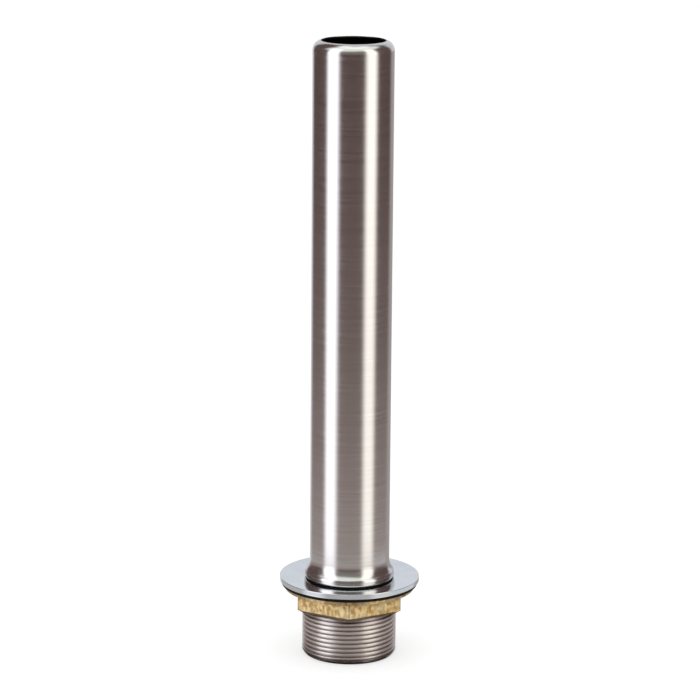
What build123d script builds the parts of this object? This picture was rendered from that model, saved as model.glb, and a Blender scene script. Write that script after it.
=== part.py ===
from build123d import *
from math import cos, radians, sin, sqrt, tan
import os

# Standing waste for a sink: a lift-out overflow pipe seated in a flanged, threaded waste body,
# with a rubber washer and a brass backnut below the flange. Millimetres, +Z up, all pieces on the
# Z axis, with the end of the threaded tail at z = 0.

# Thread of the tail: G 1 1/2, drawn as a plain cylinder at its major diameter
thread_diameter = 47.8
thread_depth = 1.48

# Waste body
tail_length = 38.2
seat_wall = 3.35
bore_wall = 5.1
seat_depth = 17.5
bore_lead_in = 0.8
flange_width = 11.6
rim_height = 2.7
flange_dish = 1.1
rim_top_round = 0.5
rim_lower_round = 0.4
mouth_round = 0.4

# Overflow pipe
upstand = 273.6
pipe_wall = 1.0
lip_round = 5.0
lip_roll = 80.0
bead_projection = 2.5
bead_height = 3.0
bead_inner_round = 0.2
bead_shoulder_round = 3.0
flare_angle = 36.0
flare_straight = 0.1
neck_round = 0.2
spigot_clearance = 0.3
spigot_end_gap = 1.0

# Seal under the foot of the pipe
seal_width = 1.75
seal_edge = 0.75
seal_foot_width = 0.45
seal_clearance = 0.05
bead_gap = 0.55

# Rubber washer under the flange
washer_thickness = 1.7
washer_width = 10.25
washer_clearance = 0.35

# Backnut
nut_clearance = 0.08
nut_wall = 2.1
hex_height = 9.5
hex_corner_round = 0.8
hex_corner_cut = 2.4
hex_corner_angle = 30.0
nut_flange_width = 6.9
nut_flange_thickness = 2.1
nut_flange_chamfer = 0.3
nut_lead_in = 0.8

# Radii shared by the pieces that fit each other
thread_radius = thread_diameter / 2
seat_radius = thread_radius - seat_wall
bore_radius = thread_radius - bore_wall
pipe_radius = seat_radius - spigot_clearance
flange_radius = thread_radius + flange_width
nut_bore_radius = thread_radius + nut_clearance
hex_flat_radius = nut_bore_radius + nut_wall

# Heights shared by the pieces that stand on each other
rim_z = tail_length + rim_height
mouth_z = rim_z - flange_dish
foot_z = mouth_z + bead_gap
pipe_top_z = rim_z + upstand
seat_end_z = mouth_z - seat_depth
washer_z = tail_length - washer_thickness
nut_flange_z = washer_z - nut_flange_thickness
hex_z = nut_flange_z - hex_height

# The seal fills the corner between the foot's underside and the spigot, with a 45 degree outer face
seal_inner_radius = pipe_radius + seal_clearance
seal_outer_radius = seal_inner_radius + seal_width
seal_top_z = foot_z - seal_clearance
seal_edge_z = seal_top_z - seal_edge

# The mouth of the waste is a 45 degree cone that just clears the seal
mouth_reach = seal_outer_radius - seal_edge_z + seal_clearance * sqrt(2)
mouth_radius = mouth_reach + mouth_z
seat_top_z = seat_radius - mouth_reach


def turned(points, rounds):
    """A solid turned about Z from a closed outline of (radius, height) points and corner rounds."""
    with BuildPart() as piece:
        with BuildSketch(Plane.XZ):
            with BuildLine():
                FilletPolyline(*points, radius=rounds, close=True)
            make_face()
        revolve(axis=Axis.Z)
    return piece.part


def standpipe():
    """One spun tube: rolled-in lip, straight pipe, flared bead and tapered spigot."""
    half_wall = pipe_wall / 2
    pipe_middle = pipe_radius - half_wall
    bead_middle = pipe_middle + bead_projection
    spigot_middle = bore_radius - spigot_clearance - half_wall
    lip_start_z = pipe_top_z - lip_round * sin(radians(lip_roll))
    under_z = foot_z + half_wall
    band_z = foot_z + bead_height
    flare_z = band_z + bead_projection / tan(radians(flare_angle))
    below_lip = [
        (pipe_middle, lip_start_z),
        (pipe_middle, flare_z),
        (bead_middle, band_z),
        (bead_middle, under_z),
        (pipe_middle, under_z),
        (spigot_middle, seat_end_z + spigot_end_gap),
    ]
    shoulder_bend = bead_shoulder_round - half_wall
    bead_bend = bead_inner_round + half_wall
    flare_slope = bead_projection / sin(radians(flare_angle)) - flare_straight
    flare_bend = flare_slope / tan(radians(flare_angle) / 2) - shoulder_bend
    bends = [flare_bend, shoulder_bend, bead_bend, neck_round + half_wall]
    with BuildPart() as pipe:
        with BuildSketch(Plane.XZ):
            with BuildLine(mode=Mode.PRIVATE) as middle_of_wall:
                JernArc(below_lip[0], (0, 1), lip_round - half_wall, lip_roll)
                FilletPolyline(*below_lip, radius=bends)
            trace(middle_of_wall.line, line_width=pipe_wall)
        revolve(axis=Axis.Z)
    return pipe.part


def seal_ring():
    """Rubber ring under the bead, tapered to lie in the coned mouth."""
    foot_radius = seal_inner_radius + seal_foot_width
    seal_foot_z = seal_edge_z - (seal_outer_radius - foot_radius)
    section = [
        (seal_inner_radius, seal_foot_z),
        (foot_radius, seal_foot_z),
        (seal_outer_radius, seal_edge_z),
        (seal_outer_radius, seal_top_z),
        (seal_inner_radius, seal_top_z),
    ]
    return turned(section, [0] * len(section))


def waste_body():
    """Flange and tail turned in one: dished top, coned mouth, tapered seat and straight bore."""
    outline = [
        (bore_radius + bore_lead_in, 0),
        (thread_radius - thread_depth, 0),
        (thread_radius, thread_depth),
        (thread_radius, tail_length),
        (flange_radius, tail_length),
        (flange_radius, rim_z),
        (mouth_radius, mouth_z),
        (seat_radius, seat_top_z),
        (bore_radius, seat_end_z),
        (bore_radius, bore_lead_in),
    ]
    rounds = [0, 0, 0, 0, rim_lower_round, rim_top_round, mouth_round, 0, 0, 0]
    return turned(outline, rounds)


def rubber_washer():
    """Flat ring between the flange and the nut."""
    inner_radius = thread_radius + washer_clearance
    outer_radius = inner_radius + washer_width
    section = [
        (inner_radius, washer_z),
        (outer_radius, washer_z),
        (outer_radius, tail_length),
        (inner_radius, tail_length),
    ]
    return turned(section, [0] * len(section))


def backnut():
    """Hexagon with one corner towards -Y, turned corner cuts below and a round flange on top."""
    hex_corner_radius = hex_flat_radius / cos(radians(30))
    cut_height = hex_corner_cut * tan(radians(hex_corner_angle))
    with BuildPart() as nut:
        with BuildSketch(Plane.XY.offset(hex_z)):
            RegularPolygon(hex_flat_radius, 6, major_radius=False, rotation=30)
        extrude(amount=hex_height)
        fillet(nut.edges().filter_by(Axis.Z), hex_corner_round)
        envelope = [
            (0, hex_z),
            (hex_corner_radius - hex_corner_cut, hex_z),
            (hex_corner_radius, hex_z + cut_height),
            (hex_corner_radius, nut_flange_z),
            (0, nut_flange_z),
        ]
        with BuildSketch(Plane.XZ):
            with BuildLine():
                Polyline(*envelope, close=True)
            make_face()
        revolve(axis=Axis.Z, mode=Mode.INTERSECT)
        collar_radius = hex_flat_radius + nut_flange_width
        collar = [
            (nut_bore_radius, nut_flange_z),
            (collar_radius - nut_flange_chamfer, nut_flange_z),
            (collar_radius, nut_flange_z + nut_flange_chamfer),
            (collar_radius, washer_z - nut_flange_chamfer),
            (collar_radius - nut_flange_chamfer, washer_z),
            (nut_bore_radius, washer_z),
        ]
        add(turned(collar, [0] * len(collar)))
        bore = [
            (0, hex_z),
            (nut_bore_radius + nut_lead_in, hex_z),
            (nut_bore_radius, hex_z + nut_lead_in),
            (nut_bore_radius, washer_z - nut_lead_in),
            (nut_bore_radius + nut_lead_in, washer_z),
            (0, washer_z),
        ]
        add(turned(bore, [0] * len(bore)), mode=Mode.SUBTRACT)
    return nut.part


pieces = {
    "standpipe": standpipe,
    "seal_ring": seal_ring,
    "waste_body": waste_body,
    "rubber_washer": rubber_washer,
    "backnut": backnut,
}

os.makedirs("parts", exist_ok=True)
for node, make in pieces.items():
    export_step(make(), f"parts/{node}.step")
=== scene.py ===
from math import acos, atan, cos, degrees, pi, radians, sin, sqrt, tan
import bmesh
import bpy
import numpy as np
from mathutils import Matrix, Vector, noise


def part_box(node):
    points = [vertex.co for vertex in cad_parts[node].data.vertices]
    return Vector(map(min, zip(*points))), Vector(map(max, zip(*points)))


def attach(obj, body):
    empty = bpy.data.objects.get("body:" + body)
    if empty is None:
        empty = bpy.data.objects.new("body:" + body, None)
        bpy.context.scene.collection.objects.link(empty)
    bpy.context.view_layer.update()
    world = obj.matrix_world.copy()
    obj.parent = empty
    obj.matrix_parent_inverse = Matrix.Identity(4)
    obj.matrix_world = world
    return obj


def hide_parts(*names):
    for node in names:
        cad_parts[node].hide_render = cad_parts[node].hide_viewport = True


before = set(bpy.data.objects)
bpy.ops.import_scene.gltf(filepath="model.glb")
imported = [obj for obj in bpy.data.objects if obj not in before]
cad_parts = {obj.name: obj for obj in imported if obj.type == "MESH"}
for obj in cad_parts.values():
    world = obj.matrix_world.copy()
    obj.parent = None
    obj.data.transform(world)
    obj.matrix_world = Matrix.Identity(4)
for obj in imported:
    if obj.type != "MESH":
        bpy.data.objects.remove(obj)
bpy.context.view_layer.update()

# Standing waste for a sink: a pipe with a seal ring under its bead, a flanged waste with a threaded
# tail, a rubber washer and a brass backnut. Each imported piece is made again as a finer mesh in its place.
# Sizes are in millimetres and become metres where a mesh is made, and angles are in degrees.
MM = 0.001


def cad_size(node):
    """Outer radius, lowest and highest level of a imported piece, in millimetres."""
    low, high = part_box(node)
    return high.x / MM, low.z / MM, high.z / MM


bead_radius, spigot_end, pipe_top = cad_size("standpipe")
flange_radius, tail_end, rim_top = cad_size("waste_body")
seal_radius, seal_low, seal_high = cad_size("seal_ring")
washer_radius, washer_low, washer_high = cad_size("rubber_washer")
collar_radius, nut_low, nut_high = cad_size("backnut")

# Pipe: drawn tube with a rolled-in lip, a flared bead and a tapered spigot
PIPE_RADIUS = 20.25
PIPE_WALL = 1.0
LIP_ROUND = 5.0
LIP_ROLL = 80.0
BEAD_HEIGHT = 3.0
BEAD_INNER_ROUND = 0.2
BEAD_SHOULDER_ROUND = 3.0
FLARE_ANGLE = 36.0
FLARE_STRAIGHT = 0.1
NECK_ROUND = 0.2
SPIGOT_RADIUS = 18.5

# Seal under the bead
SEAL_EDGE = 0.75
SEAL_FOOT_WIDTH = 0.45
SEAL_CLEARANCE = 0.05

# Waste: flange and tail
BORE_RADIUS = 18.8
BORE_LEAD_IN = 0.8
SEAT_RADIUS = 20.55
SEAT_DEPTH = 17.5
MOUTH_RADIUS = 22.37
MOUTH_ROUND = 0.4
FLANGE_DISH = 1.1
RIM_TOP_ROUND = 0.2
RIM_LOWER_ROUND = 0.4
EDGE_ROUND = 0.15

# Thread of the tail and of the nut: its depth at shares of a pitch, from one groove to the next
THREAD_RADIUS = 23.9
THREAD_END_CUT = 1.48
THREAD_PITCH = 2.309
THREAD_DEPTH = 1.2
THREAD_FORM = [(0.0, 1.0), (0.03, 0.97), (0.06, 0.83), (0.13, 0.5), (0.2, 0.15), (0.23, 0.04),
               (0.27, 0.0), (0.5, 0.0), (0.73, 0.0), (0.77, 0.04), (0.8, 0.15), (0.87, 0.5),
               (0.94, 0.83), (0.97, 0.97)]
THREAD_FADE = 1.3
NUT_THREAD_CLEARANCE = 0.08
WASHER_CLEARANCE = 0.35

# Nut, with one corner of its hexagon towards the front, -Y
FRONT = -90.0
HEX_SIDES = 6
HEX_FLAT_RADIUS = 26.08
HEX_CORNER_ROUND = 0.8
HEX_CORNER_CUT = 2.4
HEX_CORNER_ANGLE = 30.0
FOOT_BEVEL_HEIGHT = 1.3
FOOT_BEVEL_WIDTH = 0.95
COLLAR_THICKNESS = 2.1
COLLAR_ROUND = 0.3
NUT_LEAD_IN = 0.8

# Lumps of the cast surface: their depth, how many to a millimetre, and the share of the fine ones.
# They fade out over a quarter of the hexagon's height at its top and a sixth of it at its foot.
CAST_ROUGHNESS = 0.06
COARSE_LUMPS = 0.45
FINE_LUMPS = 1.3
FINE_LUMP_SHARE = 0.6
LUMP_FADE_TOP = 4
LUMP_FADE_FOOT = 6

# Fineness of the meshes
RING_STEPS = 256
ARC_STEP = 5.0
ARC_LEAST_STEPS = 3
EDGE_POINTS = 4
EDGE_LOOP = 0.3
EDGE_LOOP_ROOM = 3 * EDGE_LOOP
CORNER_SPREAD = 1.4
CORNER_STEPS = 8
FLAT_STEPS = 26
HEX_ROWS = 12
SPARE_TURNS = 2
MERGE_DISTANCE = 0.0001

# Angle between two faces past which the edge between them looks sharp
SHARP_ANGLE = 35
THREAD_SHARP_ANGLE = 50
CAST_SHARP_ANGLE = 28


# Outlines of turned pieces, as (radius, height) points

def arc(centre, radius, start, end):
    """Points along an arc between two angles."""
    steps = max(ARC_LEAST_STEPS, int(abs(end - start) / ARC_STEP) + 1)
    angles = [radians(start + (end - start) * k / steps) for k in range(steps + 1)]
    return [np.array([centre[0] + radius * cos(a), centre[1] + radius * sin(a)]) for a in angles]


def rounded(points, rounds, closed=False):
    """A line with its corners rounded and a further point close to each bend."""
    count = len(points)
    line = []
    for i, point in enumerate(points):
        corner = np.array(point, float)
        if not closed and i in (0, count - 1):
            line.append(corner)
            continue
        before = np.array(points[i - 1], float) - corner
        after = np.array(points[(i + 1) % count], float) - corner
        length_before = np.linalg.norm(before)
        length_after = np.linalg.norm(after)
        before /= length_before
        after /= length_after
        if rounds[i] == 0:
            line += [corner + before * EDGE_LOOP, corner, corner + after * EDGE_LOOP]
            continue
        half = acos(np.clip(before @ after, -1, 1)) / 2
        reach = rounds[i] / tan(half)
        middle = before + after
        centre = corner + middle / np.linalg.norm(middle) * rounds[i] / sin(half)
        start = corner + before * reach - centre
        end = corner + after * reach - centre
        turn = degrees(np.arctan2(start[0] * end[1] - start[1] * end[0], start @ end))
        first = degrees(np.arctan2(start[1], start[0]))
        if length_before > reach + EDGE_LOOP_ROOM:
            line.append(corner + before * (reach + EDGE_LOOP))
        line += arc(centre, rounds[i], first, first + turn)
        if length_after > reach + EDGE_LOOP_ROOM:
            line.append(corner + after * (reach + EDGE_LOOP))
    return line


def broken_edges(outline):
    """A closed outline with every edge broken."""
    return rounded(outline, [EDGE_ROUND] * len(outline), closed=True)


def offset(line, distance):
    """The same line moved sideways, to the left of its direction for a positive distance."""
    points = np.array(line)
    steps = np.diff(points, axis=0)
    steps /= np.linalg.norm(steps, axis=1)[:, None]
    run = np.vstack([steps[:1], steps[:-1] + steps[1:], steps[-1:]])
    run /= np.linalg.norm(run, axis=1)[:, None]
    normal = np.stack([-run[:, 1], run[:, 0]], axis=1)
    return list(points + normal * distance)


def cut_end(start, end, onward):
    """The cut end of a wall, from one face to the other, with its two edges broken."""
    across = (end - start) / np.linalg.norm(end - start)
    turns = [pi / 2 * k / (EDGE_POINTS - 1) for k in range(EDGE_POINTS)]
    first = [start + EDGE_ROUND * (across * (1 - cos(a)) - onward * (1 - sin(a))) for a in turns]
    second = [end - EDGE_ROUND * (across * (1 - sin(a)) + onward * (1 - cos(a))) for a in turns]
    return first + second


# Meshes

def finish_mesh(name, vertices, faces, finishes, sharp_angle=SHARP_ANGLE):
    """A smooth-shaded closed mesh in metres, with each face's finish and outward normals."""
    mesh = bpy.data.meshes.new(name)
    mesh.from_pydata([tuple(MM * c for c in v) for v in vertices], [], faces)
    mesh.polygons.foreach_set("material_index", finishes)
    shape = bmesh.new()
    shape.from_mesh(mesh)
    bmesh.ops.remove_doubles(shape, verts=shape.verts, dist=MERGE_DISTANCE * MM)
    bmesh.ops.dissolve_degenerate(shape, edges=shape.edges, dist=MERGE_DISTANCE * MM)
    bmesh.ops.recalc_face_normals(shape, faces=shape.faces)
    shape.to_mesh(mesh)
    shape.free()
    mesh.shade_smooth()
    mesh.set_sharp_from_angle(angle=radians(sharp_angle))
    piece = bpy.data.objects.new(name, mesh)
    bpy.context.collection.objects.link(piece)
    return piece


def skin(rows, thread_start=None):
    """Faces between rows of points that all go once round the axis, back to the first row.

    Rows from thread_start on climb one pitch on their way round and join the row a pitch further on.
    """
    count = len(rows[0])
    last = len(rows) - 1
    vertices = [tuple(p) for row in rows for p in row]
    faces = []
    face_rows = []

    def joined(i):
        """The row that a row meets when it has gone round."""
        if thread_start is None or i < thread_start:
            return i
        return min(i + len(THREAD_FORM), last)

    for i in range(len(rows)):
        above = (i + 1) % len(rows)
        here = i * count
        there = above * count
        for j in range(count - 1):
            faces.append((here + j, here + j + 1, there + j + 1, there + j))
        faces.append((here + count - 1, joined(i) * count, joined(above) * count, there + count - 1))
        face_rows += [i] * count
    return vertices, faces, face_rows


def ring(radius, level, angles):
    """A circle of points about the axis."""
    return [(radius * cos(a), radius * sin(a), level) for a in angles]


ROUND = [2 * pi * j / RING_STEPS for j in range(RING_STEPS)]


def turned(name, outline, inside=()):
    """A piece turned from a closed outline; the steps of the outline in inside get the second finish."""
    rows = [ring(r, z, ROUND) for r, z in outline]
    vertices, faces, face_rows = skin(rows)
    finishes = [1 if i in inside else 0 for i in face_rows]
    return finish_mesh(name, vertices, faces, finishes)


def thread_rows(angles, low, high, radius_at):
    """Rows that follow the right-hand thread round the axis, cut off level at both ends."""
    first = int(low / THREAD_PITCH) - SPARE_TURNS
    last = int(high / THREAD_PITCH) + SPARE_TURNS
    rows = []
    for turn in range(first, last):
        for share, depth in THREAD_FORM:
            row = []
            for a in angles:
                level = (turn + share + a / (2 * pi)) * THREAD_PITCH
                level = min(max(level, low), high)
                row += ring(radius_at(depth * THREAD_DEPTH, level), level, [a])
            rows.append(row)
    return rows


# Pieces

def make_standpipe():
    """Pipe, as a wall of even thickness about one line from the lip to the end of the spigot."""
    half = PIPE_WALL / 2
    middle = PIPE_RADIUS - half
    bead = bead_radius - half
    foot = seal_high + SEAL_CLEARANCE
    band = foot + BEAD_HEIGHT
    flare_turn = radians(FLARE_ANGLE)
    flare = band + (bead - middle) / tan(flare_turn)
    lip_turn = radians(LIP_ROLL)
    lip_start = pipe_top - LIP_ROUND * sin(lip_turn)
    taper = atan((PIPE_RADIUS - SPIGOT_RADIUS) / (foot + half - spigot_end))
    below_lip = [
        (middle, lip_start),
        (middle, flare),
        (bead, band),
        (bead, foot + half),
        (middle, foot + half),
        (SPIGOT_RADIUS - half, spigot_end + half * sin(taper)),
    ]
    flare_slope = (bead - middle) / sin(flare_turn) - FLARE_STRAIGHT
    shoulder_bend = BEAD_SHOULDER_ROUND - half
    flare_bend = flare_slope / tan(flare_turn / 2) - shoulder_bend
    bead_bend = BEAD_INNER_ROUND + half
    lip = arc((PIPE_RADIUS - LIP_ROUND, lip_start), LIP_ROUND - half, LIP_ROLL, 0)
    below = rounded(below_lip, [0, flare_bend, shoulder_bend, bead_bend, NECK_ROUND + half, 0])
    line = lip + [np.array([middle, lip_start - EDGE_LOOP])] + below[1:]
    outer = offset(line, half)
    inner = offset(line, -half)
    lip_out = np.array([-sin(lip_turn), cos(lip_turn)])
    spigot_out = np.array([-sin(taper), -cos(taper)])
    polished = outer[1:-1] + cut_end(outer[-1], inner[-1], spigot_out)
    outline = polished + inner[-2:0:-1] + cut_end(inner[0], outer[0], lip_out)
    inside = range(len(polished) - 1, len(outline) - EDGE_POINTS)
    return turned("standpipe_tube", outline, inside)


def make_seal():
    """Rubber ring under the bead, with a coned outer face."""
    inner = PIPE_RADIUS + SEAL_CLEARANCE
    outline = [
        (inner, seal_low),
        (inner + SEAL_FOOT_WIDTH, seal_low),
        (seal_radius, seal_high - SEAL_EDGE),
        (seal_radius, seal_high),
        (inner, seal_high),
    ]
    return turned("seal_ring_rubber", broken_edges(outline))


def rim_corner_level():
    """Level at which the flange's slope would meet its side, just above the rounded rim."""
    slope = atan(FLANGE_DISH / (flange_radius - MOUTH_RADIUS))
    return rim_top + RIM_TOP_ROUND * (tan(slope) + 1 / cos(slope) - 1)


def make_waste():
    """Flange, coned mouth, seat and bore as turned rows, and the tail's thread as climbing rows."""
    rim = rim_corner_level()
    mouth = rim - FLANGE_DISH
    seat_top = mouth - (MOUTH_RADIUS - SEAT_RADIUS)
    root = THREAD_RADIUS - THREAD_END_CUT
    outline = [
        (root, tail_end),
        (BORE_RADIUS + BORE_LEAD_IN, tail_end),
        (BORE_RADIUS, tail_end + BORE_LEAD_IN),
        (BORE_RADIUS, mouth - SEAT_DEPTH),
        (SEAT_RADIUS, seat_top),
        (MOUTH_RADIUS, mouth),
        (flange_radius, rim),
        (flange_radius, washer_high),
        (THREAD_RADIUS, washer_high),
    ]
    rounds = [0, EDGE_ROUND, EDGE_ROUND, 0, 0, MOUTH_ROUND, RIM_TOP_ROUND, RIM_LOWER_ROUND, 0]
    line = rounded(outline, rounds)[::-1]

    def tail_radius(depth, level):
        """Radius of the thread, shallower towards the flange and cut to a cone at the tail's end."""
        run_out = min(max((washer_high - level) / THREAD_FADE, 0), 1)
        return min(THREAD_RADIUS - depth * run_out, root + level - tail_end)

    rows = [ring(r, z, ROUND) for r, z in line]
    rows += thread_rows(ROUND, tail_end, washer_high, tail_radius)
    vertices, faces, face_rows = skin(rows, len(line))
    bright = {i for i, (_, level) in enumerate(line) if level > seat_top - EDGE_LOOP}
    finishes = [0 if i in bright else 1 for i in face_rows]
    return finish_mesh("waste_flange_and_tail", vertices, faces, finishes, THREAD_SHARP_ANGLE)


def make_washer():
    """Flat rubber ring."""
    inner = THREAD_RADIUS + WASHER_CLEARANCE
    outline = [
        (inner, washer_low),
        (washer_radius, washer_low),
        (washer_radius, washer_high),
        (inner, washer_high),
    ]
    return turned("rubber_washer_flat", broken_edges(outline))


def hex_radius(angle):
    """Radius of the hexagon with rounded corners at an angle in radians."""
    half_side = pi / HEX_SIDES
    off_corner = abs((angle - radians(FRONT) + half_side) % (2 * half_side) - half_side)
    centre = (HEX_FLAT_RADIUS - HEX_CORNER_ROUND) / cos(half_side)
    round_start = (HEX_FLAT_RADIUS - HEX_CORNER_ROUND) * tan(half_side)
    tangent = half_side - atan(round_start / HEX_FLAT_RADIUS)
    if off_corner >= tangent:
        return HEX_FLAT_RADIUS / cos(half_side - off_corner)
    return centre * cos(off_corner) + sqrt(HEX_CORNER_ROUND ** 2 - (centre * sin(off_corner)) ** 2)


def hex_angles():
    """Angles round the nut in radians, close together at the corners."""
    angles = []
    side_turn = 360 / HEX_SIDES
    corner_step = 2 * CORNER_SPREAD / CORNER_STEPS
    flat_step = (side_turn - 2 * CORNER_SPREAD) / FLAT_STEPS
    for side in range(HEX_SIDES):
        corner = FRONT + side_turn * side
        angles += [corner - CORNER_SPREAD + corner_step * k for k in range(CORNER_STEPS)]
        angles += [corner + CORNER_SPREAD + flat_step * k for k in range(FLAT_STEPS)]
    return [radians(a) for a in angles]


def cast_lump(point):
    """Uneven height of a sand-cast surface."""
    spot = Vector(point)
    coarse = noise.noise(spot * COARSE_LUMPS)
    fine = noise.noise(spot * FINE_LUMPS)
    return CAST_ROUGHNESS * (coarse + FINE_LUMP_SHARE * fine)


def make_backnut():
    """Collar and hexagon as rows round the axis, and the bore's thread as climbing rows."""
    angles = hex_angles()
    collar_low = nut_high - COLLAR_THICKNESS
    cut_start = HEX_FLAT_RADIUS / cos(pi / HEX_SIDES) - HEX_CORNER_CUT
    foot_share = 1 - FOOT_BEVEL_WIDTH / HEX_FLAT_RADIUS
    bore = THREAD_RADIUS + NUT_THREAD_CLEARANCE

    def hex_row(share):
        """A row round the hexagon's sides, from the collar at 0 down to the bevel of its foot at 1."""
        row = []
        fade = min(1, LUMP_FADE_TOP * share, LUMP_FADE_FOOT * (1 - share))
        for a in angles:
            radius = hex_radius(a)
            cut = max(FOOT_BEVEL_HEIGHT, (radius - cut_start) * tan(radians(HEX_CORNER_ANGLE)))
            level = collar_low + (nut_low + cut - collar_low) * share
            lump = cast_lump((radius * cos(a), radius * sin(a), level)) * fade
            row += ring(radius + min(lump, 0), level, [a])
        return row

    def foot_row():
        """The row round the inner edge of the bevels, on the nut's end face."""
        row = []
        for a in angles:
            row += ring(min(hex_radius(a) * foot_share, cut_start), nut_low, [a])
        return row

    def bore_radius(depth, level):
        """Radius of the nut's thread, cut to a cone at both ends."""
        lead = bore + NUT_LEAD_IN - min(level - nut_low, nut_high - level)
        return max(bore - depth, lead)

    collar = [
        (bore + NUT_LEAD_IN, nut_high),
        (collar_radius, nut_high),
        (collar_radius, collar_low),
        (HEX_FLAT_RADIUS, collar_low),
    ]
    collar_line = rounded(collar, [0, COLLAR_ROUND, COLLAR_ROUND, 0])
    rows = [ring(r, z, angles) for r, z in collar_line[:-1]]
    rows += [hex_row(k / HEX_ROWS) for k in range(HEX_ROWS + 1)]
    rows.append(foot_row())
    thread_start = len(rows)
    rows += thread_rows(angles, nut_low, nut_high, bore_radius)
    vertices, faces, face_rows = skin(rows, thread_start)
    return finish_mesh("backnut_cast", vertices, faces, [0] * len(face_rows), CAST_SHARP_ANGLE)


# Shader nodes

def new_material(name):
    """A material with its node tree and its shader."""
    material = bpy.data.materials.new(name)
    material.use_nodes = True
    tree = material.node_tree
    return material, tree, tree.nodes["Principled BSDF"]


def math_node(tree, operation, first, second=None):
    """A Math node on sockets or numbers; gives its output socket."""
    made = tree.nodes.new("ShaderNodeMath")
    made.operation = operation
    for place, value in enumerate((first, second)):
        if value is None:
            continue
        if isinstance(value, (int, float)):
            made.inputs[place].default_value = value
        else:
            tree.links.new(value, made.inputs[place])
    return made.outputs[0]


def times(tree, first, second):
    """The product of two sockets or numbers."""
    return math_node(tree, "MULTIPLY", first, second)


def ramp(tree, value, low, high, to_low=0.0, to_high=1.0, smooth=True):
    """value mapped from low..high to to_low..to_high, clamped."""
    made = tree.nodes.new("ShaderNodeMapRange")
    made.interpolation_type = "SMOOTHSTEP" if smooth else "LINEAR"
    tree.links.new(value, made.inputs["Value"])
    for name, number in (("From Min", low), ("From Max", high), ("To Min", to_low), ("To Max", to_high)):
        made.inputs[name].default_value = number
    return made.outputs["Result"]


def blend(tree, mask, first, second):
    """Two colours mixed by a mask; colours are sockets or (r, g, b)."""
    made = tree.nodes.new("ShaderNodeMix")
    made.data_type = "RGBA"
    for name, value in (("Factor_Float", mask), ("A_Color", first), ("B_Color", second)):
        socket = next(s for s in made.inputs if s.identifier == name)
        if isinstance(value, tuple):
            socket.default_value = (*value, 1)
        else:
            tree.links.new(value, socket)
    return next(s for s in made.outputs if s.identifier == "Result_Color")


def colour_steps(tree, value, stops):
    """Colours at given values, in order, blended in between."""
    low, high = stops[0][0], stops[-1][0]
    made = tree.nodes.new("ShaderNodeValToRGB")
    points = made.color_ramp.elements
    any_place = 0.5
    while len(points) < len(stops):
        points.new(any_place)
    for point, (place, colour) in zip(points, stops):
        point.position = (place - low) / (high - low)
        point.color = (*colour, 1)
    tree.links.new(ramp(tree, value, low, high, smooth=False), made.inputs["Fac"])
    return made.outputs["Color"]


def split(tree, vector):
    """The X, Y and Z sockets of a vector."""
    parts = tree.nodes.new("ShaderNodeSeparateXYZ")
    tree.links.new(vector, parts.inputs[0])
    return parts.outputs


def new_group(name, inputs, outputs):
    """A node group of numbers, with its input and output sockets."""
    group = bpy.data.node_groups.new(name, "ShaderNodeTree")
    for label, value in inputs.items():
        socket = group.interface.new_socket(label, in_out="INPUT", socket_type="NodeSocketFloat")
        socket.default_value = value
    for label in outputs:
        group.interface.new_socket(label, in_out="OUTPUT", socket_type="NodeSocketFloat")
    entry = group.nodes.new("NodeGroupInput")
    result = group.nodes.new("NodeGroupOutput")
    return group, entry.outputs, result.inputs


def use_group(tree, group, **values):
    """A node group with its inputs set; gives its output sockets."""
    made = tree.nodes.new("ShaderNodeGroup")
    made.node_tree = group
    for key, value in values.items():
        made.inputs[key.replace("_", " ")].default_value = value
    return made.outputs


# Materials

# Noise lies mostly within this span, about its mean
NOISE_SPAN = (0.3, 0.7)
NOISE_MEAN = 0.5
NOISE_ROUGHNESS = 0.55
PAINTED_SHADE_SAMPLES = 8

# Darkest and palest colour of each finish
SATIN_STEEL = ((0.595, 0.565, 0.555), (0.65, 0.63, 0.615))
# Inside of the tube, near black: painted shade for the unlit inside
UNPOLISHED_STEEL_IN_PAINTED_SHADE = ((0.012, 0.010, 0.010), (0.03, 0.027, 0.026))
# Plating, brass and rubber
BRIGHT_PLATE = ((0.66, 0.68, 0.70), (0.71, 0.73, 0.75))
DULL_PLATE = ((0.66, 0.605, 0.58), (0.745, 0.695, 0.67))
CAST_BRASS = ((0.39, 0.25, 0.09), (0.71, 0.535, 0.27))
BLACK_RUBBER = ((0.004, 0.003, 0.003), (0.010, 0.008, 0.008))
# Painted shade for the plated thread, in its grooves and near the nut
PLATE_PAINTED_SHADE = (0.10, 0.075, 0.075)
# Aged tone of the brass, in random patches
AGED_BRASS = (0.60, 0.54, 0.37)
# Painted shade for the brass, in its hollows and on its underside
SHADED_BRASS = (0.16, 0.085, 0.028)

# Brass: noise at which it goes from dark to pale and starts to look aged, and the most that it is aged
BRASS_SPAN = (0.36, 0.64)
AGED_SPAN = (0.45, 0.75)
AGED_SHARE = 0.7
# Downward part of the normal from which an underside is shaded, and the most that it is shaded
UNDERSIDE_SPAN = (-0.7, -0.2)
UNDERSIDE_SHARE = 0.8


def stretched(tree, across, along):
    """Object coordinates scaled by across in X and Y and by along in Z."""
    place = tree.nodes.new("ShaderNodeTexCoord")
    parts = split(tree, place.outputs["Object"])
    joined = tree.nodes.new("ShaderNodeCombineXYZ")
    for axis, factor in (("X", across), ("Y", across), ("Z", along)):
        tree.links.new(times(tree, parts[axis], factor), joined.inputs[axis])
    return joined.outputs[0]


def noise_value(tree, vector, detail):
    """Noise from 0 to 1 at a place."""
    made = tree.nodes.new("ShaderNodeTexNoise")
    made.inputs["Scale"].default_value = 1.0
    made.inputs["Detail"].default_value = detail
    made.inputs["Roughness"].default_value = NOISE_ROUGHNESS
    tree.links.new(vector, made.inputs["Vector"])
    return made.outputs["Fac"]


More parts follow.
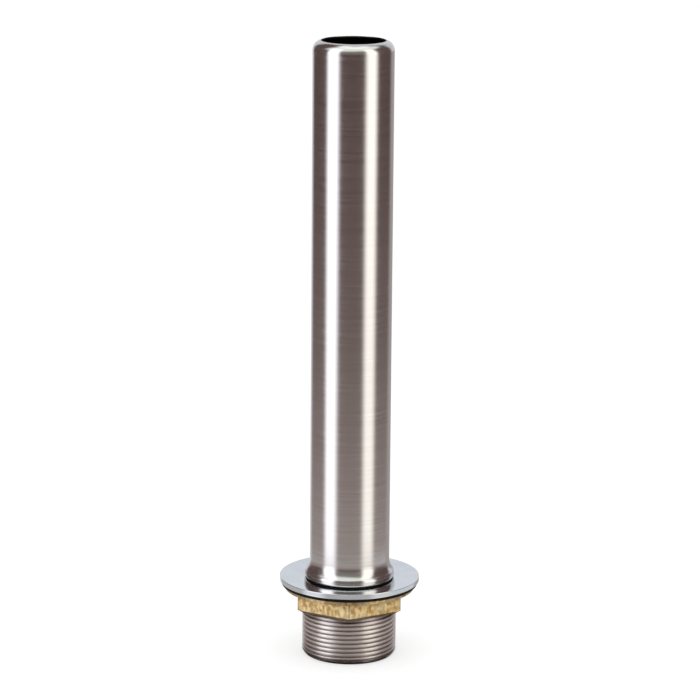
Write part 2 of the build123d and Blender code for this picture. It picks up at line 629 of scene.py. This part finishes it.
def make_grain_group():
    """Fine lines of polishing or turning, and slow patches, both from 0 to 1."""
    scales = {"Across": 100.0, "Along": 4000.0, "Patch Scale": 60.0}
    group, given, out = new_group("polishing_lines", scales, ["Lines", "Patches"])
    lines = noise_value(group, stretched(group, given["Across"], given["Along"]), detail=4.0)
    patches = noise_value(group, stretched(group, given["Patch Scale"], given["Patch Scale"]), detail=3.0)
    group.links.new(lines, out["Lines"])
    group.links.new(patches, out["Patches"])
    return group


def make_painted_shade_group():
    """Mask of painted shade in a piece's own hollows and at the places close to its neighbours, broken up
    by noise.
    """
    settings = {"Distance": 0.002, "Hollows": 1.0, "Neighbours": 1.0, "Break Up": 900.0}
    group, given, out = new_group("painted_shade_in_hollows", settings, ["Mask"])

    def openness(own_piece_only):
        """How open a place is, as far as its own piece or all pieces go."""
        made = group.nodes.new("ShaderNodeAmbientOcclusion")
        made.samples = PAINTED_SHADE_SAMPLES
        made.only_local = own_piece_only
        group.links.new(given["Distance"], made.inputs["Distance"])
        return made.outputs["AO"]

    # Painted shade: occlusion by the piece itself and by the pieces beside it darkens the colour
    own = openness(True)
    hollow = times(group, math_node(group, "SUBTRACT", 1.0, own), given["Hollows"])
    beside = times(group, math_node(group, "SUBTRACT", own, openness(False)), given["Neighbours"])
    spots = noise_value(group, stretched(group, given["Break Up"], given["Break Up"]), detail=2.0)
    uneven = math_node(group, "ADD", spots, NOISE_MEAN)
    mask = times(group, math_node(group, "ADD", hollow, beside), uneven)
    mask = math_node(group, "MINIMUM", math_node(group, "MAXIMUM", mask, 0.0), 1.0)
    group.links.new(mask, out["Mask"])
    return group


GRAIN = make_grain_group()
PAINTED_SHADE = make_painted_shade_group()


def coat(tree, shader, colour, roughness, height, strength, depth):
    """Give a shader its colour, its roughness and a bump of some strength and depth in metres."""
    made = tree.nodes.new("ShaderNodeBump")
    made.inputs["Strength"].default_value = strength
    made.inputs["Distance"].default_value = depth
    tree.links.new(height, made.inputs["Height"])
    tree.links.new(made.outputs["Normal"], shader.inputs["Normal"])
    tree.links.new(colour, shader.inputs["Base Color"])
    tree.links.new(roughness, shader.inputs["Roughness"])


def satin_steel():
    """Drawn tube, polished to a satin finish with faint lines round it."""
    material, tree, shader = new_material("satin_steel")
    grain = use_group(tree, GRAIN, Across=30.0, Along=1700.0, Patch_Scale=45.0)
    patches = ramp(tree, grain["Patches"], *NOISE_SPAN, to_low=0.6)
    shade = times(tree, patches, ramp(tree, grain["Lines"], *NOISE_SPAN))
    colour = blend(tree, shade, *SATIN_STEEL)
    roughness = ramp(tree, grain["Lines"], *NOISE_SPAN, to_low=0.16, to_high=0.22)
    coat(tree, shader, colour, roughness, grain["Lines"], strength=0.04, depth=0.00005)
    shader.inputs["Metallic"].default_value = 1.0
    return material


def unpolished_steel_in_painted_shade():
    """Dull inside of the drawn tube, painted near black as the shade inside the tube."""
    material, tree, shader = new_material("unpolished_steel_in_painted_shade")
    grain = use_group(tree, GRAIN, Across=900.0, Along=60.0, Patch_Scale=80.0)
    colour = blend(tree, ramp(tree, grain["Patches"], *NOISE_SPAN), *UNPOLISHED_STEEL_IN_PAINTED_SHADE)
    roughness = ramp(tree, grain["Lines"], *NOISE_SPAN, to_low=0.45, to_high=0.65)
    coat(tree, shader, colour, roughness, grain["Lines"], strength=0.2, depth=0.0001)
    shader.inputs["Metallic"].default_value = 1.0
    return material


def bright_plate():
    """Mirror plate of the flange, very slightly uneven."""
    material, tree, shader = new_material("bright_plate")
    grain = use_group(tree, GRAIN, Across=900.0, Along=900.0, Patch_Scale=90.0)
    colour = blend(tree, ramp(tree, grain["Patches"], *NOISE_SPAN), *BRIGHT_PLATE)
    roughness = ramp(tree, grain["Lines"], low=0.3, high=0.75, to_low=0.05, to_high=0.10)
    coat(tree, shader, colour, roughness, grain["Patches"], strength=0.03, depth=0.0001)
    shader.inputs["Metallic"].default_value = 1.0
    return material


def dull_plate():
    """Thin plate over the cut thread, with painted shade in its grooves and near the nut and the floor."""
    material, tree, shader = new_material("dull_plate")
    grain = use_group(tree, GRAIN, Across=250.0, Along=2600.0, Patch_Scale=110.0)
    painted_shade = use_group(tree, PAINTED_SHADE, Distance=0.005, Hollows=0.3, Neighbours=3.5, Break_Up=700.0)
    metal = blend(tree, ramp(tree, grain["Patches"], *NOISE_SPAN), *DULL_PLATE)
    # Painted shade: darker in the thread's grooves and near the nut and the floor
    colour = blend(tree, painted_shade["Mask"], metal, PLATE_PAINTED_SHADE)
    roughness = ramp(tree, grain["Lines"], *NOISE_SPAN, to_low=0.30, to_high=0.40)
    coat(tree, shader, colour, roughness, grain["Lines"], strength=0.12, depth=0.00008)
    shader.inputs["Metallic"].default_value = 1.0
    return material


def cast_brass():
    """Sand-cast brass with pits, and painted shade in its hollows, close to the pieces beside it and on
    faces turned down.
    """
    material, tree, shader = new_material("cast_brass")
    grain = use_group(tree, GRAIN, Across=560.0, Along=400.0, Patch_Scale=130.0)
    painted_shade = use_group(tree, PAINTED_SHADE, Distance=0.0045, Hollows=1.8, Neighbours=1.2, Break_Up=420.0)
    metal = blend(tree, ramp(tree, grain["Lines"], *BRASS_SPAN), *CAST_BRASS)
    aged = blend(tree, ramp(tree, grain["Patches"], *AGED_SPAN, to_high=AGED_SHARE), metal, AGED_BRASS)
    facing = tree.nodes.new("ShaderNodeNewGeometry")
    upward = split(tree, facing.outputs["Normal"])["Z"]
    underside = ramp(tree, upward, *UNDERSIDE_SPAN, to_low=UNDERSIDE_SHARE, to_high=0.0)
    # Painted shade: darker in hollows, close to other pieces and on faces turned down
    colour = blend(tree, math_node(tree, "MAXIMUM", painted_shade["Mask"], underside), aged, SHADED_BRASS)
    roughness = ramp(tree, grain["Lines"], *NOISE_SPAN, to_low=0.44, to_high=0.28)
    coat(tree, shader, colour, roughness, grain["Lines"], strength=0.35, depth=0.0004)
    shader.inputs["Metallic"].default_value = 0.8
    return material


def black_rubber():
    """Matt black moulded rubber with a faint bloom."""
    material, tree, shader = new_material("black_rubber")
    grain = use_group(tree, GRAIN, Across=700.0, Along=700.0, Patch_Scale=150.0)
    colour = blend(tree, ramp(tree, grain["Patches"], low=0.35, high=0.75), *BLACK_RUBBER)
    roughness = ramp(tree, grain["Lines"], *NOISE_SPAN, to_low=0.5, to_high=0.7)
    coat(tree, shader, colour, roughness, grain["Lines"], strength=0.15, depth=0.0001)
    shader.inputs["Specular IOR Level"].default_value = 0.15
    return material


# Dress the frame

def dress(piece, body, node, slot, *materials):
    """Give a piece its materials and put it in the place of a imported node."""
    for material in materials:
        piece.data.materials.append(material)
    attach(piece, body)
    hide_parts(node)


rubber = black_rubber()
dress(make_standpipe(), "waste", "standpipe", "stainless_steel", satin_steel(), unpolished_steel_in_painted_shade())
dress(make_seal(), "waste", "seal_ring", "rubber", rubber)
dress(make_waste(), "waste", "waste_body", "chrome", bright_plate(), dull_plate())
dress(make_washer(), "washer", "rubber_washer", "rubber", rubber)
dress(make_backnut(), "nut", "backnut", "brass", cast_brass())


# Studio: a pale floor, soft light from all round, and what the polished metal sees. Lengths in metres.

FLOOR_SIZE = 6.0
FLOOR_DROP = 0.0002
FLOOR_ROUGHNESS = 0.9
FLOOR_GLOW = 0.64
FLOOR_GREY = (0.5, 0.5, 0.5)
SOFT_LIGHT = (0.75, 0.75, 0.75)
WHITE = (1.0, 1.0, 1.0)
BLACK = (0.0, 0.0, 0.0)
BACKDROP = (0.80, 0.83, 0.88)
LOW_BACKDROP = (0.46, 0.44, 0.44)
OVERHEAD = (1.15, 1.25, 1.18)
ZENITH = (1.50, 1.56, 1.52)
LEFT_STRIP = (2.15, 2.20, 2.36)
RIGHT_STRIP = (1.83, 1.80, 1.71)
DARK_ROOM = (0.135, 0.095, 0.09)
FRONT_ROOM = (0.285, 0.275, 0.26)
# Angles round the part, from the front, of the two tall light strips and of the backdrop's edges
LEFT_EDGES = (-76.5, -41.5)
RIGHT_EDGES = (37.0, 70.0)
LEFT_BACK = -148.0
RIGHT_BACK = 131.0
HIGH_LEFT_BACK = -160.0
HIGH_RIGHT_BACK = 145.0
BEHIND = 180.0
# Angles above the floor of their upper edges, and of the glow in front, from none to full
STRIP_TOP = 54.0
BACKDROP_TOP = 34.0
FRONT_GLOW = (-8.0, 26.0)
# Angles far enough off that a panel shows no edge there
FAR_ROUND = 250.0
FAR_DOWN = -60.0
FAR_UP = 200.0
# The overhead light reaches lower on the left than on the right: lower edge at the ends of its width
OVERHEAD_LEFT = (-96.0, 30.0)
OVERHEAD_RIGHT = (131.0, 50.0)
ZENITH_START = 66.0
# Half the width of the soft edges, as angles
PANEL_SOFT_SIDE = 4.5
PANEL_SOFT_TOP = 9.0
FRONT_SOFT = 8.0
OVERHEAD_SOFT_SIDE = 5.0
OVERHEAD_SOFT_EDGE = 6.0
ZENITH_SOFT = 5.0
FLOOR_SOFT = 9.0
# What polished metal sees of the floor, by distance from the part: a painted shadow under the tail, palest
# at a hand's width and darker further off
FLOOR_SEEN = [(0.024, (0.10, 0.08, 0.075)), (0.036, (0.34, 0.29, 0.28)), (0.08, (0.54, 0.49, 0.47)),
              (0.125, (0.58, 0.55, 0.54)), (0.145, (0.55, 0.54, 0.535)), (0.172, (0.55, 0.54, 0.535)),
              (0.195, (0.42, 0.375, 0.355)), (0.28, (0.385, 0.335, 0.32)), (0.43, (0.31, 0.26, 0.248)),
              (0.78, (0.21, 0.165, 0.153)), (1.35, (0.158, 0.112, 0.107)), (2.2, (0.122, 0.083, 0.077))]
# Share of the light strips that it sees there, none in the painted shadow under the tail
STRIPS_SEEN = [(0.024, 0.0), (0.04, 0.56), (0.125, 0.56), (0.145, 0.25), (0.172, 0.25), (0.195, 0.82),
               (0.5, 0.85), (1.5, 1.0)]
# Share of the backdrop that it sees there to the right of the strips
GLOW_SEEN = [(0.125, 0.0), (0.145, 0.8), (0.172, 0.8), (0.195, 0.0)]
# Radius of the pieces that mirror the floor
MIRROR_RADIUS = 0.021
# Lamp above the part, in watts
LAMP_PLACE = (0.0, -0.3, 1.4)
LAMP_AIM = (0.0, 0.0, 0.1)
LAMP_SIZE = 1.2
LAMP_POWER = 4.0
# Camera fitted to the photograph, with its sensor and its lens in millimetres
CAMERA_PLACE = (-0.00060, -1.5453, 0.5183)
CAMERA_TILT = 76.885
CAMERA_ROLL = 0.46
CAMERA_SENSOR = 36.0
CAMERA_LENS = 162.55


def make_floor():
    """White to the camera, grey to soft light, and a pool of light between two strips to polished metal."""
    mesh = bpy.data.meshes.new("floor")
    half = FLOOR_SIZE / 2
    corners = [(-half, -half, 0), (half, -half, 0), (half, half, 0), (-half, half, 0)]
    mesh.from_pydata(corners, [], [(0, 1, 2, 3)])
    floor = bpy.data.objects.new("floor", mesh)
    bpy.context.collection.objects.link(floor)
    floor.location.z = -FLOOR_DROP
    material, tree, shader = new_material("pale_floor")
    material.cycles.emission_sampling = "NONE"
    shader.inputs["Roughness"].default_value = FLOOR_ROUGHNESS
    shader.inputs["Specular IOR Level"].default_value = 0.0
    place = tree.nodes.new("ShaderNodeTexCoord")
    parts = split(tree, place.outputs["Object"])
    span = tree.nodes.new("ShaderNodeVectorMath")
    span.operation = "LENGTH"
    tree.links.new(place.outputs["Object"], span.inputs[0])
    distance = span.outputs["Value"]

    def past(angle):
        """1 on the floor that a turned mirror shows beyond an angle round the part, else 0."""
        turn = radians(angle)
        soft = sin(radians(FLOOR_SOFT))
        sideways = times(tree, parts["X"], cos(turn))
        backward = times(tree, parts["Y"], sin(turn))
        across = math_node(tree, "ADD", sideways, backward)
        across = math_node(tree, "ADD", across, MIRROR_RADIUS * sin(turn / 2))
        return ramp(tree, math_node(tree, "DIVIDE", across, distance), -soft, soft)

    def share_steps(stops):
        """Shares at given distances, as greys."""
        return colour_steps(tree, distance, [(reach, (share,) * 3) for reach, share in stops])

    def sector(colour, under, low, high, share=1.0):
        """A colour laid over another between two angles round the part."""
        inside = times(tree, past(low), math_node(tree, "SUBTRACT", 1.0, past(high)))
        return blend(tree, times(tree, inside, share), under, colour)

    strips = share_steps(STRIPS_SEEN)
    seen = colour_steps(tree, distance, FLOOR_SEEN)
    seen = sector(BACKDROP, seen, RIGHT_EDGES[1], RIGHT_BACK, share_steps(GLOW_SEEN))
    seen = sector(LOW_BACKDROP, seen, RIGHT_BACK, BEHIND)
    seen = sector(BACKDROP, seen, -BEHIND, LEFT_BACK)
    seen = sector(LEFT_STRIP, seen, *LEFT_EDGES, strips)
    seen = sector(RIGHT_STRIP, seen, *RIGHT_EDGES, strips)

    light = tree.nodes.new("ShaderNodeLightPath")
    glossy = light.outputs["Is Glossy Ray"]
    glow = math_node(tree, "ADD", times(tree, light.outputs["Is Camera Ray"], FLOOR_GLOW), glossy)
    tree.links.new(blend(tree, glossy, FLOOR_GREY, BLACK), shader.inputs["Base Color"])
    tree.links.new(blend(tree, glossy, WHITE, seen), shader.inputs["Emission Color"])
    tree.links.new(glow, shader.inputs["Emission Strength"])
    mesh.materials.append(material)


def make_world():
    """White to the camera, even soft light to dull surfaces, and a studio to polished metal."""
    world = bpy.data.worlds.new("studio")
    bpy.context.scene.world = world
    world.use_nodes = True
    world.cycles.sampling_method = "NONE"
    tree = world.node_tree
    tree.nodes.clear()
    place = tree.nodes.new("ShaderNodeTexCoord")
    parts = split(tree, place.outputs["Generated"])
    frontward = times(tree, parts["Y"], -1.0)
    round_angle = times(tree, math_node(tree, "ARCTAN2", parts["X"], frontward), degrees(1))
    height_angle = times(tree, math_node(tree, "ARCSINE", parts["Z"]), degrees(1))

    def between(angle, low, high, soft):
        """1 where an angle lies between low and high, with soft edges."""
        rise = ramp(tree, angle, low - soft, low + soft)
        fall = ramp(tree, angle, high - soft, high + soft, to_low=1.0, to_high=0.0)
        return times(tree, rise, fall)

    def panel(colour, under, left, right, top):
        """A panel from the floor up to an angle, laid over what is there."""
        width = between(round_angle, left, right, PANEL_SOFT_SIDE)
        height = between(height_angle, FAR_DOWN, top, PANEL_SOFT_TOP)
        return blend(tree, times(tree, width, height), under, colour)

    front = between(round_angle, LEFT_EDGES[1], RIGHT_EDGES[0], FRONT_SOFT)
    front_glow = times(tree, front, ramp(tree, height_angle, *FRONT_GLOW))
    room = blend(tree, front_glow, DARK_ROOM, FRONT_ROOM)
    left, left_start = OVERHEAD_LEFT
    right, right_start = OVERHEAD_RIGHT
    overhead_start = ramp(tree, round_angle, left, right, left_start, right_start, smooth=False)
    over_start = math_node(tree, "SUBTRACT", height_angle, overhead_start)
    overhead = ramp(tree, over_start, -OVERHEAD_SOFT_EDGE, OVERHEAD_SOFT_EDGE)
    overhead = times(tree, overhead, between(round_angle, left, right, OVERHEAD_SOFT_SIDE))
    room = blend(tree, overhead, room, OVERHEAD)
    zenith = ramp(tree, height_angle, ZENITH_START - ZENITH_SOFT, ZENITH_START + ZENITH_SOFT)
    room = blend(tree, zenith, room, ZENITH)
    room = panel(BACKDROP, room, -FAR_ROUND, LEFT_BACK, BACKDROP_TOP)
    room = panel(BACKDROP, room, RIGHT_BACK, FAR_ROUND, BACKDROP_TOP)
    room = panel(BACKDROP, room, -FAR_ROUND, HIGH_LEFT_BACK, FAR_UP)
    room = panel(BACKDROP, room, HIGH_RIGHT_BACK, FAR_ROUND, FAR_UP)
    room = panel(LEFT_STRIP, room, *LEFT_EDGES, STRIP_TOP)
    room = panel(RIGHT_STRIP, room, *RIGHT_EDGES, STRIP_TOP)

    light = tree.nodes.new("ShaderNodeLightPath")
    colour = blend(tree, light.outputs["Is Glossy Ray"], SOFT_LIGHT, room)
    colour = blend(tree, light.outputs["Is Camera Ray"], colour, WHITE)
    background = tree.nodes.new("ShaderNodeBackground")
    tree.links.new(colour, background.inputs["Color"])
    output = tree.nodes.new("ShaderNodeOutputWorld")
    tree.links.new(background.outputs[0], output.inputs["Surface"])


def make_lamp():
    """A large soft lamp above the part, which polished metal doesn't show."""
    light = bpy.data.lights.new("overhead_softbox", "AREA")
    light.shape = "SQUARE"
    light.size = LAMP_SIZE
    light.energy = LAMP_POWER
    lamp = bpy.data.objects.new("overhead_softbox", light)
    lamp.location = LAMP_PLACE
    aim = Vector(LAMP_AIM) - Vector(LAMP_PLACE)
    lamp.rotation_euler = aim.to_track_quat("-Z", "Y").to_euler()
    lamp.visible_camera = False
    lamp.visible_glossy = False
    bpy.context.collection.objects.link(lamp)


def make_camera():
    """The photograph's view: a long lens a little above the pipe, looking down, with a slight roll."""
    data = bpy.data.cameras.new("camera")
    data.sensor_width = CAMERA_SENSOR
    data.lens = CAMERA_LENS
    camera = bpy.data.objects.new("camera", data)
    tilt = Matrix.Rotation(radians(CAMERA_TILT), 4, "X")
    roll = Matrix.Rotation(radians(CAMERA_ROLL), 4, "Z")
    camera.matrix_world = Matrix.Translation(CAMERA_PLACE) @ tilt @ roll
    bpy.context.collection.objects.link(camera)
    bpy.context.scene.camera = camera


make_floor()
make_world()
make_lamp()
make_camera()
bpy.context.scene.view_settings.view_transform = "Standard"
